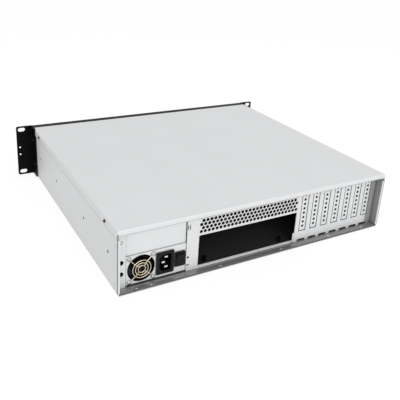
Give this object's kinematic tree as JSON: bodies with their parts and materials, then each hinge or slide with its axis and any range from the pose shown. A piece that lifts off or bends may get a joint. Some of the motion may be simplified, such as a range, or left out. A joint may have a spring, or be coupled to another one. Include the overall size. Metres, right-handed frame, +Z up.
{
  "type": "rackmount server case",
  "caption": "Low, wide sheet steel rack case with ears, recessed rear panel, vented slot blanks, a board aperture and a small fitted power supply.",
  "frame": {"origin": "centre of the bounding box in X and Y, on the underside", "axes": "+X across the rack, to the left when seen from the rear; +Y from the front panel to the rear panel; +Z up"},
  "size_m": [0.4826, 0.4, 0.088],
  "materials": {
    "zinc_steel": "zinc coated sheet steel, smooth and satin",
    "black_steel": "black powder coat, fine and satin",
    "screw_steel": "bright zinc plated steel",
    "black_screw": "black zinc plated steel",
    "guard_wire": "nickel plated steel wire",
    "black_plastic": "moulded black plastic, fine grain",
    "pin_metal": "nickel plated brass",
    "circuit_board": "green solder resist on glass laminate",
    "clear_lens": "clear moulded lens",
    "socket_steel": "plated sheet steel"
  },
  "bodies": {
    "chassis": {"base_tray": "zinc_steel", "rear_panel": "zinc_steel", "top_cover": "zinc_steel", "psu_housing": "zinc_steel", "psu_top_plate": "zinc_steel", "psu_cradle": "zinc_steel", "fan_bracket": "zinc_steel", "drive_cage": "zinc_steel", "slot_cover_1": "zinc_steel", "slot_cover_2": "zinc_steel", "slot_cover_3": "zinc_steel", "slot_cover_4": "zinc_steel", "slot_cover_5": "zinc_steel", "slot_cover_6": "zinc_steel", "slot_cover_7": "zinc_steel", "front_panel": "black_steel", "ear_left": "black_steel", "ear_right": "black_steel", "slot_screws": "screw_steel", "psu_fan_screws": "screw_steel", "control_studs": "screw_steel", "cover_screws": "black_screw", "ear_screws": "black_screw", "board_standoffs": "black_screw", "psu_fan_guard": "guard_wire", "psu_inlet": "black_plastic", "psu_switch_frame": "black_plastic", "psu_fan_frame": "black_plastic", "fan_left_frame": "black_plastic", "fan_right_frame": "black_plastic", "psu_inlet_pins": "pin_metal", "control_board": "circuit_board", "led_lenses": "clear_lens", "usb_sockets": "socket_steel"},
    "psu_fan_rotor": {"psu_fan_rotor": "black_plastic"},
    "fan_left_rotor": {"fan_left_rotor": "black_plastic"},
    "fan_right_rotor": {"fan_right_rotor": "black_plastic"},
    "psu_rocker": {"psu_rocker": "black_plastic"},
    "power_button": {"power_button": "black_plastic"},
    "reset_button": {"reset_button": "black_plastic"}
  },
  "joints": [
    {"name": "psu_fan_spin", "type": "hinge", "parent": "chassis", "child": "psu_fan_rotor", "pos_m": [0.17915, 0.1771, 0.02385], "axis": [0, 1, 0], "continuous": true},
    {"name": "fan_left_spin", "type": "hinge", "parent": "chassis", "child": "fan_left_rotor", "pos_m": [-0.09, -0.1663, 0.0434], "axis": [0, 1, 0], "continuous": true},
    {"name": "fan_right_spin", "type": "hinge", "parent": "chassis", "child": "fan_right_rotor", "pos_m": [0, -0.1663, 0.0434], "axis": [0, 1, 0], "continuous": true},
    {"name": "psu_rocker_tilt", "type": "hinge", "parent": "chassis", "child": "psu_rocker", "pos_m": [0.12625, 0.1882, 0.02385], "axis": [1, 0, 0], "range_deg": [0, 18]},
    {"name": "power_button_press", "type": "slide", "parent": "chassis", "child": "power_button", "axis": [0, 1, 0], "range_m": [0, 0.0012], "stiffness_N_per_m": 400},
    {"name": "reset_button_press", "type": "slide", "parent": "chassis", "child": "reset_button", "axis": [0, 1, 0], "range_m": [0, 0.0012], "stiffness_N_per_m": 400}
  ]
}
